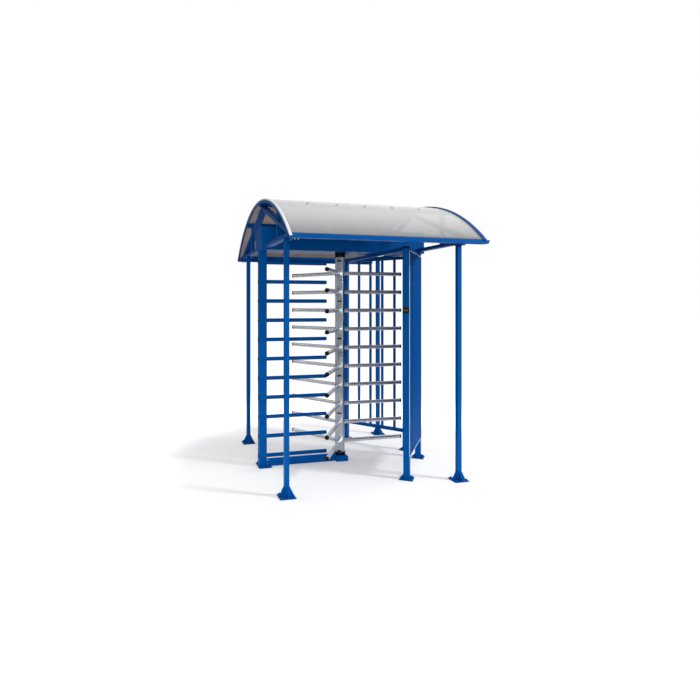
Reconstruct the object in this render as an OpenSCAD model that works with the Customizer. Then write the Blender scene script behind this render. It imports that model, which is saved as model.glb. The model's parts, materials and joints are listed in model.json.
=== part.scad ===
/* [Passage] */
// Clear height under the top housing
passage_h = 2114; // [1900:5:2300]
// Vertical distance between two rows of arms
row_pitch = 190; // [170:5:205]
// Height of the lowest arm row above the floor
first_arm_z = 195; // [170:5:210]
// Number of arms on one wing
arm_rows = 10; // [6:1:10]

/* [Rotor] */
// Distance from the rotor axis to the end of an arm
arm_reach = 680; // [560:5:690]
// Outside diameter of an arm tube
arm_d = 38; // [30:1:42]
// Wall of an arm tube
arm_wall = 2; // [1:0.5:4]
// Width of a wide face of the column, where the arms stand
column_face_w = 70; // [60:1:80]
// Width of a narrow face of the column
column_edge_w = 31; // [24:1:40]
// Wall of the column profile
column_wall = 5; // [3:0.5:8]
// Radius of the shadow groove along each column edge
column_groove_r = 4; // [2:0.5:5]
// Height of the lower end of the column
column_z = 87; // [80:1:120]
// Height of the black collar above the column
upper_collar_h = 46; // [40:1:80]
// How far the upper collar reaches past the column's edges
upper_collar_lip = 0.5; // [0.5:0.5:8]
// Diameter of the steel journals at both ends
journal_d = 40; // [25:1:50]
// How far an arm cap stands out past its tube all round
arm_cap_lip = 1.5; // [0:0.5:4]
// Length of an arm cap outside its tube
arm_cap_len = 12; // [6:1:20]

/* [Comb side] */
// Distance from the rotor axis to the comb post axis
comb_post_x = 810; // [770:5:840]
// Width of the square comb post
comb_post_w = 75; // [50:1:90]
// Distance from the rotor axis to the free ends of the comb bars
comb_bar_gap = 147; // [120:1:200]
// Outside diameter of a comb bar
comb_bar_d = 38; // [30:1:42]
// Wall of a comb bar
comb_bar_wall = 2; // [1:0.5:4]
// How far the comb post's foot plate reaches past the post on each side, across and ahead
comb_foot_margin = [26.5, 58.5]; // [26:0.5:80]
// How far the foot plate lies inward of the comb post's axis
comb_foot_shift = 15; // [0:1:20]

/* [Floor beam] */
// Height of the beam along the floor
floor_beam_h = 78; // [60:1:90]
// Width of the beam's leg on the floor
floor_beam_w = 66; // [50:1:90]
// Thickness of the beam's two legs
floor_beam_t = 6; // [4:0.5:10]
// How far the bearing block reaches past the lower collar, across and ahead
block_margin = [8, 18]; // [1:0.5:40]
// Height of the black collar under the column
lower_collar_h = 31; // [20:1:40]
// How far the lower collar reaches past the column's edges
lower_collar_lip = 2.5; // [0.5:0.5:8]

/* [Top housing] */
// How far the housing reaches past the comb post's outer face
housing_left_lip = 2.5; // [0:0.5:60]
// Right end of the housing, measured from the rotor axis
housing_right = 876; // [870:1:980]
// Depth of the housing
housing_d = 292; // [260:2:340]
// Height of the housing
housing_h = 218; // [160:2:260]
// Sheet thickness of the housing
housing_t = 3; // [2:0.5:5]

/* [Guide cage] */
// Front corner post of the cage, across and ahead of the rotor axis
guide_front_corner = [377, 735]; // [340:1:810]
// Rear corner post of the cage, across and behind the rotor axis
guide_rear_corner = [358, 780]; // [340:1:810]
// Front side post of the cage, in from the housing's right end and from its front face
guide_front_side_in = [70, 1]; // [0:1:100]
// Rear side post of the cage, in from the housing's right end and from its rear face
guide_rear_side_in = [59, 1]; // [0:1:100]
// Width of a cage post
guide_post_w = 56; // [40:1:66]
// Width of a cage rail
guide_rail_w = 30; // [20:1:40]
// Height of a cage rail
guide_rail_h = 35; // [20:1:40]
// Height of the underside of the bottom rails
guide_rail_z = 190; // [150:1:230]
// Side of a square cage bar
guide_bar_w = 22; // [14:1:26]
// Distance from the rear corner post's axis to the first bar
guide_bar_first = 183; // [150:1:220]
// Distance between two rear bars
guide_bar_pitch = 153; // [120:1:170]
// Number of bars in the rear part of the cage
guide_bars = 4; // [2:1:6]
// How far a cage post's foot plate reaches past the post on each side
guide_foot_margin = 32; // [28:1:45]
// Height of the welded ribs around a cage post's foot
guide_rib_h = 36; // [20:1:80]
// Height of the underside of the sheet panel
guide_panel_z = 210; // [180:5:260]
// Thickness of the sheet panel
guide_panel_t = 2; // [1.5:0.5:4]

/* [Canopy] */
// How far the left post line lies inside the housing's left end
canopy_left_in = 60; // [30:1:100]
// How far the right post line lies inside the housing's right end
canopy_right_in = 63; // [30:1:100]
// Distance of the posts ahead of and behind the rotor axis
canopy_post_y = 886; // [800:2:960]
// Width of a square canopy post
canopy_post_w = 40; // [30:1:50]
// How far the eave beams' underside lies below the housing's underside
eave_drop = 16; // [-20:1:30]
// Height of an eave beam
eave_h = 32; // [24:1:40]
// Distance of the eaves ahead of and behind the rotor axis
eave_y = 1232; // [1150:2:1300]
// Width of the flat tubes of the canopy frame
flat_tube_w = 60; // [40:1:70]
// Height of the flat tubes of the canopy frame
flat_tube_h = 30; // [20:1:40]
// Height of the roof sheet's crown above the eave beams
roof_rise = 460; // [380:5:560]
// Thickness of the roof sheet
roof_t = 8; // [4:1:16]
// Depth of an arch rib's upright leg
arch_depth = 45; // [30:1:60]
// Width of the right arch rib's top leg, which lies over the roof sheet
arch_flange_w = 28; // [20:1:40]
// Width of the left arch rib's top leg, which carries the roof sheet
arch_seat_w = 20; // [15:1:35]
// Thickness of an arch rib's legs
arch_t = 4; // [2:0.5:6]
// Thickness of the rubber strip between the roof sheet and the right arch rib
gasket_t = 5; // [3:0.5:8]
// How far the canopy reaches past the left post line
overhang_left = 67; // [40:1:120]
// How far the roof reaches past the right post line
overhang_right = 47; // [40:1:120]
// How far the eave beams reach past the roof's right end
beam_overhang = 37; // [0:1:80]
// How much shorter an eave beam is along its inner face than along its outer face
beam_mitre = 24; // [0:1:30]
// How much shorter an eave beam is along its underside than along its top
beam_undercut = 14; // [0:1:20]
// Length of the bright strip's free ends below the roof sheet's edge
trim_tail = 20; // [0:1:30]
// Distance of the rafters' feet ahead of and behind the rotor axis
rafter_foot_y = 1084; // [950:2:1100]
// Distance of the gable struts ahead of and behind the rotor axis
strut_y = 605; // [400:1:720]
// Width of a square gable strut
strut_w = 34; // [20:1:40]
// Wall of the gable struts
strut_wall = 2; // [1.5:0.5:3]
// Distance of the outer purlins ahead of and behind the crown
purlin_y = 650; // [500:2:760]

/* [Feet and walls] */
// How far a canopy post's foot plate reaches past the post on each side
foot_margin = 48; // [30:1:60]
// Thickness of every foot plate
foot_t = 8; // [6:0.5:12]
// Height of the welded foot ribs
foot_rib_h = 92; // [60:1:140]
// Thickness of the welded foot ribs
foot_rib_t = 6; // [4:0.5:8]
// Radius of the anchor holes
anchor_r = 6; // [4:0.5:7]
// Distance from an anchor hole to the plate's edges
anchor_edge = 18; // [14:1:22]
// Wall of the square and flat tubes
tube_wall = 3; // [2:0.5:4]
// Wall of the cage's rails and bars
rail_wall = 2; // [1:0.5:3]

/* [Hidden] */

$fn = 64;
seat = 0.3;                   // gap between a seated piece and its seat
eps = 1;                      // how far a cut runs past a face
blue = "royalblue";
silver = "silver";
black = "black";

// Square tube standing on the XY plane
module square_tube(w, h, wall) {
    translate([-w / 2, -w / 2, 0])
        difference() {
            cube([w, w, h]);
            translate([wall, wall, -eps])
                cube([w - 2 * wall, w - 2 * wall, h + 2 * eps]);
        }
}

// Flat tube along +Y from the origin, centred on X, its underside at z = 0
module flat_tube_y(w, h, len, wall) {
    translate([-w / 2, 0, 0])
        difference() {
            cube([w, len, h]);
            translate([wall, -eps, wall])
                cube([w - 2 * wall, len + 2 * eps, h - 2 * wall]);
        }
}

// Flat tube along +X from the origin, centred on Y, its underside at z = 0
module flat_tube_x(w, h, len, wall) {
    rotate([0, 0, -90])
        flat_tube_y(w, h, len, wall);
}

// Round tube along +X from the origin
module round_tube_x(d, len, wall) {
    rotate([0, 90, 0])
        difference() {
            cylinder(d = d, h = len);
            translate([0, 0, -eps])
                cylinder(d = d - 2 * wall, h = len + 2 * eps);
        }
}

// ---- comb side ----

comb_foot = [for (margin = comb_foot_margin) comb_post_w + 2 * margin];
comb_rows = arm_rows + 1;
first_comb_z = first_arm_z - row_pitch / 2;
comb_bore_r = comb_bar_d / 2 + seat;
comb_cap_t = 5;               // plug head outside the post
comb_end_t = 4;               // closed, rounded end of a bar

module anchor_holes(w, d) {
    for (i = [-1, 1], j = [-1, 1])
        translate([i * (w / 2 - anchor_edge), j * (d / 2 - anchor_edge), -eps])
            cylinder(r = anchor_r, h = foot_t + 2 * eps);
}

module foot_plate(w, d) {
    difference() {
        translate([-w / 2, -d / 2, 0])
            cube([w, d, foot_t]);
        anchor_holes(w, d);
    }
}

module comb_post() {
    color(blue)
        translate([-comb_post_x, 0, 0])
            difference() {
                union() {
                    translate([comb_foot_shift, 0, 0])
                        foot_plate(comb_foot[0], comb_foot[1]);
                    translate([0, 0, foot_t])
                        square_tube(comb_post_w, passage_h - foot_t, tube_wall);
                }
                for (k = [0:comb_rows - 1])
                    translate([-comb_post_w, 0, first_comb_z + k * row_pitch])
                        rotate([0, 90, 0])
                            cylinder(r = comb_bore_r, h = 2 * comb_post_w);
            }
}

module comb_bar() {
    bar_x0 = -comb_post_x - comb_post_w / 2;
    bar_len = comb_post_x + comb_post_w / 2 - comb_bar_gap;
    bar_r = comb_bar_d / 2;
    translate([bar_x0, 0, 0])
        rotate([0, 90, 0])
            rotate_extrude()
                difference() {
                    union() {
                        square([bar_r, bar_len - comb_end_t]);
                        translate([0, bar_len - comb_end_t])
                            square([bar_r - comb_end_t, comb_end_t]);
                        translate([bar_r - comb_end_t, bar_len - comb_end_t])
                            intersection() {
                                circle(r = comb_end_t);
                                square(comb_end_t);
                            }
                    }
                    translate([-eps, -eps])
                        square([bar_r - comb_bar_wall + eps, bar_len - comb_end_t + eps]);
                }
}

module comb_bars() {
    color(blue)
        for (k = [0:comb_rows - 1])
            translate([0, 0, first_comb_z + k * row_pitch])
                comb_bar();
}

// A plug closes the outer end of each bar
module comb_bar_plugs() {
    head_r = comb_bar_d / 2 + 1;
    stem_r = comb_bar_d / 2 - comb_bar_wall - seat;
    stem_len = 15;
    color(black)
        for (k = [0:comb_rows - 1])
            translate([-comb_post_x - comb_post_w / 2, 0, first_comb_z + k * row_pitch])
                rotate([0, 90, 0]) {
                    translate([0, 0, -comb_cap_t])
                        cylinder(r = head_r, h = comb_cap_t);
                    cylinder(r = stem_r, h = stem_len);
                }
}

// ---- floor beam and bearings ----

face_dist = (column_face_w + 2 * column_edge_w) * sqrt(3) / 6;
column_r = norm([face_dist, column_face_w / 2]);
upper_collar_d = 2 * (column_r + upper_collar_lip);
lower_collar_d = 2 * (column_r + lower_collar_lip);
bearing_block = [for (margin = block_margin) lower_collar_d + 2 * margin];
journal_clear = 0.3;          // between a journal and its bore
block_top = column_z - lower_collar_h;
journal_foot_z = 20;          // lower end of the lower journal
journal_disc_t = 12;          // disc that fills the column's end
upper_journal_reach = 60;     // upper journal inside the housing
block_slope = 8;              // sloping edges of the bearing block

// Angle profile from the comb post to the bearing block, one leg upright in front and one on
// the floor, notched over the post's foot plate
module floor_beam() {
    x0 = -comb_post_x + comb_post_w / 2;
    x1 = -bearing_block[0] / 2;
    notch = comb_foot_shift + comb_foot[0] / 2 - comb_post_w / 2;
    color(blue)
        difference() {
            translate([x0, -floor_beam_w / 2, 0]) {
                cube([x1 - x0, floor_beam_t, floor_beam_h]);
                cube([x1 - x0, floor_beam_w, floor_beam_t]);
            }
            translate([x0 - eps, -floor_beam_w, -eps])
                cube([notch + eps, 2 * floor_beam_w, foot_t + eps]);
        }
}

// Block with a sloping edge at both ends of its top
module bearing_block() {
    w = bearing_block[0];
    d = bearing_block[1];
    color(blue)
        difference() {
            rotate([90, 0, 0])
                translate([0, 0, -d / 2])
                    linear_extrude(d)
                        polygon([
                            [-w / 2, 0], [w / 2, 0], [w / 2, block_top - block_slope],
                            [w / 2 - block_slope, block_top], [-w / 2 + block_slope, block_top],
                            [-w / 2, block_top - block_slope]]);
            translate([0, 0, journal_foot_z - seat])
                cylinder(d = journal_d + 2 * journal_clear, h = block_top);
        }
}

module lower_bearing() {
    color(black)
        difference() {
            translate([0, 0, block_top])
                cylinder(d = lower_collar_d, h = lower_collar_h - seat);
            cylinder(d = journal_d + 2 * journal_clear, h = column_z + eps);
        }
}

module upper_bearing() {
    z0 = passage_h - upper_collar_h;
    color(black)
        difference() {
            translate([0, 0, z0])
                cylinder(d = upper_collar_d, h = upper_collar_h);
            translate([0, 0, z0 - eps])
                cylinder(d = journal_d + 2 * journal_clear, h = upper_collar_h + 2 * eps);
        }
}

// ---- top housing ----

housing_left = comb_post_x + comb_post_w / 2 + housing_left_lip;
lid_t = housing_t;
lid_lip = 22;                 // turned-down edge of the lid
tray_inset = lid_t + seat;    // the lid's lip hangs outside the tray

module housing_box(inset, z0, h) {
    translate([-housing_left + inset, -housing_d / 2 + inset, z0])
        cube([housing_left + housing_right - 2 * inset, housing_d - 2 * inset, h]);
}

module housing_tray() {
    h = housing_h - lid_t;
    color(blue)
        difference() {
            union() {
                housing_box(0, passage_h, h - lid_lip - seat);
                housing_box(tray_inset, passage_h, h);
            }
            housing_box(tray_inset + housing_t, passage_h + housing_t, h);
            translate([0, 0, passage_h - eps])
                cylinder(d = journal_d + 2 * journal_clear, h = housing_h);
        }
}

module housing_lid() {
    top = passage_h + housing_h;
    color(blue)
        difference() {
            housing_box(0, top - lid_t - lid_lip, lid_t + lid_lip);
            housing_box(lid_t, top - lid_t - lid_lip - eps, lid_lip + eps);
        }
}

// ---- guide cage ----

guide_front_side = [housing_right - guide_front_side_in[0], housing_d / 2 - guide_front_side_in[1]];
guide_rear_side = [housing_right - guide_rear_side_in[0], housing_d / 2 - guide_rear_side_in[1]];
guide_foot_w = guide_post_w + 2 * guide_foot_margin;

// Ends, direction and length of the sloping wall on one side (-1 front, 1 rear)
function wall_corner(side) = side < 0 ? guide_front_corner : guide_rear_corner;
function wall_side(side) = side < 0 ? guide_front_side : guide_rear_side;
function wall_run(side) = [
    wall_side(side)[0] - wall_corner(side)[0], wall_corner(side)[1] - wall_side(side)[1]];
function wall_len(side) = norm(wall_run(side));
function wall_turn(side) = atan2(wall_run(side)[1], wall_run(side)[0]);

guide_rail_top_z = passage_h - guide_rail_h;
guide_panel_top_z = guide_rail_top_z - 5;
cap_h = 18;                   // plastic caps on the free posts

// Places a cage post at (x, y) with its sides along the sloping cage wall
module at_post(p, side) {
    translate([p[0], side * p[1], 0])
        rotate([0, 0, -side * wall_turn(side)])
            children();
}

module guide_post(p, side, h) {
    color(blue)
        at_post(p, side) {
            foot_plate(guide_foot_w, guide_foot_w);
            foot_ribs(guide_post_w, guide_foot_w, guide_rib_h);
            translate([0, 0, foot_t])
                square_tube(guide_post_w, h - foot_t, tube_wall);
        }
}

module guide_post_outlines() {
    for (side = [-1, 1], p = [wall_corner(side), wall_side(side)])
        at_post(p, side)
            translate([-guide_post_w / 2, -guide_post_w / 2, 0])
                cube([guide_post_w, guide_post_w, passage_h + eps]);
}

module guide_front_post() { guide_post(guide_front_corner, -1, passage_h - cap_h); }
module guide_side_front_post() { guide_post(guide_front_side, -1, passage_h); }
module guide_side_rear_post() { guide_post(guide_rear_side, 1, passage_h); }
module guide_rear_post() { guide_post(guide_rear_corner, 1, passage_h - cap_h); }

module guide_post_caps() {
    color(black)
        for (side = [-1, 1])
            at_post(wall_corner(side), side)
                translate([-guide_post_w / 2, -guide_post_w / 2, passage_h - cap_h])
                    cube([guide_post_w, guide_post_w, cap_h]);
}

// Rail between the corner post and the side post, its underside at height z
module sloping_rail(side, z) {
    at_post(wall_corner(side), side)
        translate([0, 0, z])
            flat_tube_x(guide_rail_w, guide_rail_h, wall_len(side), rail_wall);
}

// Rail from a front post at (front[0], -front[1]) to a rear post at (rear[0], rear[1])
module cross_rail(front, rear, z) {
    run = [rear[0] - front[0], rear[1] + front[1]];
    translate([front[0], -front[1], z])
        rotate([0, 0, -atan2(run[0], run[1])])
            flat_tube_y(guide_rail_w, guide_rail_h, norm(run), rail_wall);
}

module side_rail(z) { cross_rail(guide_front_side, guide_rear_side, z); }

// Space that a top rail takes, for cutting the closing rail to it
module sloping_rail_outline(side) {
    at_post(wall_corner(side), side)
        translate([0, -guide_rail_w / 2, guide_rail_top_z - eps])
            cube([wall_len(side), guide_rail_w, guide_rail_h + 2 * eps]);
}

module guide_top_frame() {
    color(blue)
        difference() {
            union() {
                sloping_rail(-1, guide_rail_top_z);
                sloping_rail(1, guide_rail_top_z);
                side_rail(guide_rail_top_z);
            }
            guide_post_outlines();
        }
}

// Rail that closes the cage's open side between the two corner posts
module guide_closing_rail() {
    color(blue)
        difference() {
            cross_rail(guide_front_corner, guide_rear_corner, guide_rail_top_z);
            guide_post_outlines();
            for (side = [-1, 1])
                sloping_rail_outline(side);
        }
}

bar_z = guide_rail_z + guide_rail_h;
bar_h = guide_rail_top_z - bar_z;

// Upright bar, its foot let into the wall of the bottom rail
module grille_bar() {
    let_in = rail_wall / 2;
    translate([0, 0, bar_z - let_in])
        square_tube(guide_bar_w, bar_h + let_in, rail_wall);
}

module guide_side_grille() {
    color(blue) {
        difference() {
            side_rail(guide_rail_z);
            guide_post_outlines();
        }
        translate([(guide_front_side[0] + guide_rear_side[0]) / 2, 0, 0])
            grille_bar();
    }
}

module guide_rear_grille() {
    color(blue) {
        difference() {
            sloping_rail(1, guide_rail_z);
            guide_post_outlines();
        }
        for (k = [0:guide_bars - 1])
            at_post(guide_rear_corner, 1)
                translate([guide_bar_first + k * guide_bar_pitch, 0, 0])
                    grille_bar();
    }
}

// Folded sheet on the outer faces of the front posts
module guide_front_panel() {
    h = guide_panel_top_z - guide_panel_z;
    w = wall_len(-1) + guide_post_w;
    fold = (guide_post_w - guide_rail_w) / 2 + guide_panel_t;
    color(blue)
        at_post(guide_front_corner, -1)
            translate([-guide_post_w / 2, -guide_post_w / 2 - seat - guide_panel_t, guide_panel_z]) {
                cube([w, guide_panel_t, h]);
                for (z = [0, h - guide_panel_t])
                    translate([guide_post_w, 0, z])
                        cube([w - 2 * guide_post_w, fold, guide_panel_t]);
            }
}

// Black box on the front face of the front corner post
module indicator() {
    box = [guide_post_w, 14, 50];
    z = 1508;
    color(black)
        at_post(guide_front_corner, -1)
            translate([-guide_post_w / 2 - box[1], -box[0] / 2, z])
                cube([box[1], box[0], box[2]]);
}

// ---- canopy ----

canopy_left = housing_left - canopy_left_in;
canopy_right = housing_right - canopy_right_in;
canopy_end_left = canopy_left + overhang_left;
canopy_end_right = canopy_right + overhang_right;
beam_end_right = canopy_end_right + beam_overhang;
eave_z = passage_h - eave_drop;
tie_z = eave_z + eave_h;
foot_w = canopy_post_w + 2 * foot_margin;
head_w = canopy_post_w + 50;  // plate on top of a canopy post
head_t = 10;
post_top = tie_z - head_t;

module foot_ribs(w, d, h) {
    reach = d / 2 - w / 2 - 4;
    for (a = [0:90:270])
        rotate([0, 0, a])
            translate([w / 2, foot_rib_t / 2, foot_t])
                rotate([90, 0, 0])
                    linear_extrude(foot_rib_t)
                        polygon([[0, 0], [reach, 0], [reach, 6], [0, h]]);
}

module canopy_post(x, y) {
    color(blue)
        translate([x, y, 0]) {
            foot_plate(foot_w, foot_w);
            foot_ribs(canopy_post_w, foot_w, foot_rib_h);
            translate([0, 0, foot_t])
                square_tube(canopy_post_w, post_top - foot_t, tube_wall);
            translate([-head_w / 2, -head_w / 2, post_top])
                cube([head_w, head_w, head_t]);
        }
}

module front_left_post() { canopy_post(-canopy_left, -canopy_post_y); }
module front_right_post() { canopy_post(canopy_right, -canopy_post_y); }
module rear_left_post() { canopy_post(-canopy_left, canopy_post_y); }
module rear_right_post() { canopy_post(canopy_right, canopy_post_y); }

// Ties run from the eaves to the housing's front and rear faces, cut off under the roof sheet
module ties(x) {
    y0 = housing_d / 2;
    color(blue)
        for (side = [0, 1])
            mirror([0, side, 0])
                intersection() {
                    translate([x, y0, tie_z])
                        flat_tube_y(flat_tube_w, flat_tube_h, eave_y - y0, tube_wall);
                    translate([x - flat_tube_w, 0, roof_cz])
                        rotate([0, 90, 0])
                            cylinder(r = under_r, h = 2 * flat_tube_w, $fn = 240);
                }
}

module left_ties() { ties(-canopy_left); }
module right_ties() { ties(canopy_right); }

beam_len = canopy_end_left + beam_end_right;

// Beam of the rear eave, its right end cut off at a slant both ways
module eave_beam() {
    cut = 4 * flat_tube_w;
    color(blue)
        difference() {
            translate([-canopy_end_left, eave_y - flat_tube_w / 2, eave_z])
                flat_tube_x(flat_tube_w, eave_h, beam_len, tube_wall);
            translate([beam_end_right, eave_y, tie_z])
                rotate([0, atan2(beam_undercut, eave_h), -atan2(beam_mitre, flat_tube_w)])
                    translate([0, -cut / 2, -cut / 2])
                        cube(cut);
        }
}

module front_beam() { mirror([0, 1, 0]) eave_beam(); }
module rear_beam() { eave_beam(); }

// The roof sheet is an arc through the eaves and the crown
roof_r = (eave_y * eave_y + roof_rise * roof_rise) / (2 * roof_rise);
roof_cz = tie_z + roof_rise - roof_r;
under_r = roof_r - roof_t;
flange_r = roof_r + gasket_t;
rib_r = flange_r + arch_t;
rib_in_r = rib_r - arch_depth;

// Angle from the crown at which radius r meets the top of the eave beams
function eave_angle(r) = acos((tie_z + seat - roof_cz) / r);

// Arc of a band between two radii and two places along X
module arc_band(r0, r1, x0, x1, half_angle) {
    translate([0, 0, roof_cz])
        rotate([90, 0, 90])
            rotate([0, 0, 90 - half_angle])
                rotate_extrude(angle = 2 * half_angle, $fn = 240)
                    translate([r0, x0])
                        square([r1 - r0, x1 - x0]);
}

module above_eaves() {
    translate([-2 * canopy_end_left, -2 * eave_y, tie_z + seat])
        cube([4 * canopy_end_left, 4 * eave_y, 2 * roof_rise]);
}

// Angle profile bent to the roof's arc, with its upright leg from web_x and its top leg from leg_x
module arch(top_r, web_x, leg_x, leg_w) {
    half = eave_angle(top_r) + 1;
    color(blue)
        intersection() {
            union() {
                arc_band(rib_in_r, top_r, web_x, web_x + arch_t, half);
                arc_band(top_r - arch_t, top_r, leg_x, leg_x + leg_w, half);
            }
            above_eaves();
        }
}

// The left rib carries the roof sheet on its top leg
module left_arch() { arch(under_r, -canopy_end_left, -canopy_end_left, arch_seat_w); }

// The right rib's top leg lies over the roof sheet
module right_arch() {
    arch(rib_r, canopy_end_right - arch_t, canopy_end_right - arch_flange_w, arch_flange_w);
}

// Gable truss: two rafters from under the crown, crossed by a strut near each eave
crown_z = roof_cz + under_r - flat_tube_h - seat;
rafter_top_z = crown_z - seat;
rafter_foot_z = tie_z + flat_tube_h;
rafter_turn = atan2(rafter_top_z - rafter_foot_z, rafter_foot_y);
rafter_len = norm([rafter_foot_y, rafter_top_z - rafter_foot_z]);

// Moves a rafter's pieces so that their top line is the local XY plane
module on_rafter_slope() {
    translate([0, 0, rafter_top_z])
        rotate([-rafter_turn, 0, 0])
            children();
}

module rafter() {
    intersection() {
        on_rafter_slope()
            translate([0, -flat_tube_h, -flat_tube_h])
                flat_tube_y(flat_tube_w, flat_tube_h, rafter_len + flat_tube_h, tube_wall);
        translate([-flat_tube_w, seat / 2, rafter_foot_z + seat])
            cube([2 * flat_tube_w, eave_y, crown_z - rafter_foot_z]);
    }
}

// Strut from the tie to under the purlin, cut where the rafter passes
module strut() {
    difference() {
        intersection() {
            translate([0, strut_y, rafter_foot_z + seat])
                square_tube(strut_w, roof_rise, strut_wall);
            translate([-strut_w, 0, roof_cz])
                rotate([0, 90, 0])
                    cylinder(r = under_r - flat_tube_h - seat, h = 2 * strut_w, $fn = 240);
        }
        on_rafter_slope()
            translate([-strut_w, 0, -flat_tube_h - seat])
                cube([2 * strut_w, rafter_len, flat_tube_h + 2 * seat]);
    }
}

module gable_truss(x) {
    color(blue)
        translate([x, 0, 0])
            for (side = [0, 1])
                mirror([0, side, 0]) {
                    rafter();
                    strut();
                }
}

module left_gable_truss() { gable_truss(-canopy_left); }
module right_gable_truss() { gable_truss(canopy_right); }

// Purlins under the roof sheet: one at the crown and one on each slope from rib to rib,
// and one along each eave, flat on the beam, from tie to tie
purlin_low_r = sqrt(under_r * under_r - flat_tube_w * flat_tube_w / 4) - flat_tube_h;
eave_purlin_top = tie_z + seat + flat_tube_h - roof_cz;
eave_purlin_y = sqrt(under_r * under_r - eave_purlin_top * eave_purlin_top) - seat - flat_tube_w / 2;

module purlin(turn, x0, x1) {
    translate([0, 0, roof_cz])
        rotate([turn, 0, 0])
            translate([x0, 0, purlin_low_r])
                flat_tube_x(flat_tube_w, flat_tube_h, x1 - x0, tube_wall);
}

module purlins() {
    rib_x0 = -canopy_end_left + arch_seat_w + seat;
    rib_x1 = canopy_end_right - arch_t - seat;
    tie_x0 = -canopy_left + flat_tube_w / 2 + seat;
    tie_x1 = canopy_right - flat_tube_w / 2 - seat;
    slope_turn = asin(purlin_y / under_r);
    color(blue) {
        purlin(0, rib_x0, rib_x1);
        for (side = [-1, 1]) {
            purlin(side * slope_turn, rib_x0, rib_x1);
            translate([tie_x0, side * eave_purlin_y, tie_z + seat])
                flat_tube_x(flat_tube_w, flat_tube_h, tie_x1 - tie_x0, tube_wall);
        }
    }
}

sheet_x0 = -canopy_end_left;
sheet_x1 = canopy_end_right - arch_t - seat;
sheet_half = eave_angle(under_r + seat);

module roof_sheet() {
    color([0.8, 0.8, 0.82, 0.6])
        arc_band(under_r + seat, roof_r, sheet_x0, sheet_x1, sheet_half);
}

// Rubber strip under the top leg of the right arch rib
module arch_gasket() {
    w = arch_flange_w - arch_t - 2;
    color(black)
        arc_band(roof_r + seat, flange_r - seat, sheet_x1 - w, sheet_x1, sheet_half);
}

// Bright strips: an angle around the sheet's left edge and a flat one on each lower edge
module arch_trims() {
    t = 1.5;
    low_edge = 13;
    lap = 2;
    r = roof_r + seat;
    half = acos((tie_z - trim_tail - roof_cz) / r);
    outer_x = sheet_x0 - seat;
    flat_x0 = sheet_x0 + arch_seat_w + 1;
    flat_x1 = canopy_end_right - arch_flange_w - 1;
    color(silver) {
        arc_band(r, r + t, outer_x - t, sheet_x0 + arch_seat_w, half);
        arc_band(under_r - lap, r + t, outer_x - t, outer_x, half);
        for (side = [0, 1])
            mirror([0, side, 0])
                translate([0, 0, roof_cz])
                    rotate([90, 0, 90])
                        rotate([0, 0, 90 - sheet_half])
                            rotate_extrude(angle = low_edge / roof_r * 180 / PI, $fn = 240)
                                translate([r, flat_x0])
                                    square([t, flat_x1 - flat_x0]);
    }
}

// ---- rotor ----

column_top = passage_h - upper_collar_h - seat;

function turned(a, p) = [p[0] * cos(a) - p[1] * sin(a), p[0] * sin(a) + p[1] * cos(a)];

column_corners = [for (a = [0, 120, 240], s = [-1, 1])
    turned(a, [face_dist, s * column_face_w / 2])];

module column_section() {
    difference() {
        polygon(column_corners);
        for (p = column_corners)
            translate(p)
                circle(r = column_groove_r, $fn = 24);
        circle(r = face_dist - column_wall);
    }
}

module rotor_column() {
    color(silver)
        translate([0, 0, column_z])
            linear_extrude(column_top - column_z)
                column_section();
}

module wing_arms(a) {
    tube_end = arm_reach - arm_cap_len;
    color(silver)
        rotate([0, 0, a])
            for (k = [0:arm_rows - 1])
                translate([face_dist, 0, first_arm_z + k * row_pitch])
                    round_tube_x(arm_d, tube_end - face_dist, arm_wall);
}

module wing_a_arms() { wing_arms(0); }
module wing_b_arms() { wing_arms(120); }
module wing_c_arms() { wing_arms(240); }

module arm_cap() {
    cap_r = arm_d / 2 + arm_cap_lip;
    stem_r = arm_d / 2 - arm_wall - seat;
    edge = 3;
    rotate([0, 90, 0])
        rotate_extrude() {
            translate([0, -15])
                square([stem_r, 15 + eps]);
            square([cap_r - edge, arm_cap_len]);
            square([cap_r, arm_cap_len - edge]);
            translate([cap_r - edge, arm_cap_len - edge])
                circle(r = edge, $fn = 24);
        }
}

module arm_caps() {
    color(black)
        for (a = [0, 120, 240], k = [0:arm_rows - 1])
            rotate([0, 0, a])
                translate([arm_reach - arm_cap_len, 0, first_arm_z + k * row_pitch])
                    arm_cap();
}

// Pairs of plugs at both ends and between every second pair of arms, on all three faces
module column_plugs() {
    plug_r = 8;
    plug_t = 4;
    gap = 11;
    below_top = 38;
    heights = concat(
        [column_z + plug_r + 1, column_top - below_top],
        [for (k = [2:2:arm_rows - 1]) first_comb_z + k * row_pitch]);
    color(black)
        for (a = [0, 120, 240], z = heights, s = [-1, 1])
            rotate([0, 0, a])
                translate([face_dist, s * gap, z])
                    rotate([0, 90, 0])
                        cylinder(r = plug_r, h = plug_t);
}

// Steel journals that turn in the two bearings, each with a disc that fills the column's end
module rotor_journals() {
    disc_r = face_dist - column_wall - seat;
    top = passage_h + upper_journal_reach;
    color(silver) {
        translate([0, 0, journal_foot_z])
            cylinder(d = journal_d, h = column_z - journal_foot_z + eps);
        translate([0, 0, column_z])
            cylinder(r = disc_r, h = journal_disc_t);
        translate([0, 0, column_top - journal_disc_t])
            cylinder(r = disc_r, h = journal_disc_t);
        translate([0, 0, column_top - eps])
            cylinder(d = journal_d, h = top - column_top + eps);
    }
}

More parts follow.
